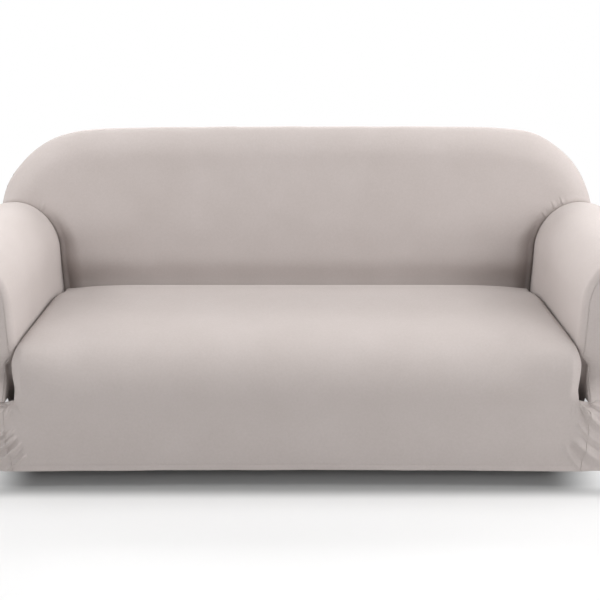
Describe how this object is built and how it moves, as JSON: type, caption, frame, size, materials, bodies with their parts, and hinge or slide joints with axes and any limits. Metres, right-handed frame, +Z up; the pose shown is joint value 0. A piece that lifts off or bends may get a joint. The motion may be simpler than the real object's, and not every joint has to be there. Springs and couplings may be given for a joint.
{
  "type": "fitted sofa cover",
  "caption": "Stretch slipcover for a sofa with rolled arms and a rounded back: a hollow cloth shell with turned-in seams, tucked round the seat.",
  "frame": {"origin": "middle of the cover's footprint, in the plane of its hem", "axes": "+Z up; -Y towards the front of the seat; +X towards the right arm as seen from the front"},
  "size_m": [2.074, 0.856, 0.8236],
  "materials": {
    "seat_panel": "matte fine stretch knit, warm light grey",
    "back_panel": "matte fine stretch knit, warm light grey",
    "arm_panel_left": "matte fine stretch knit, warm light grey",
    "arm_panel_right": "matte fine stretch knit, warm light grey",
    "arm_front_left": "matte fine stretch knit, warm light grey",
    "arm_front_right": "matte fine stretch knit, warm light grey"
  },
  "bodies": {
    "root": {"seat_panel": "seat_panel", "back_panel": "back_panel", "arm_panel_left": "arm_panel_left", "arm_panel_right": "arm_panel_right", "arm_front_left": "arm_front_left", "arm_front_right": "arm_front_right"}
  },
  "joints": []
}
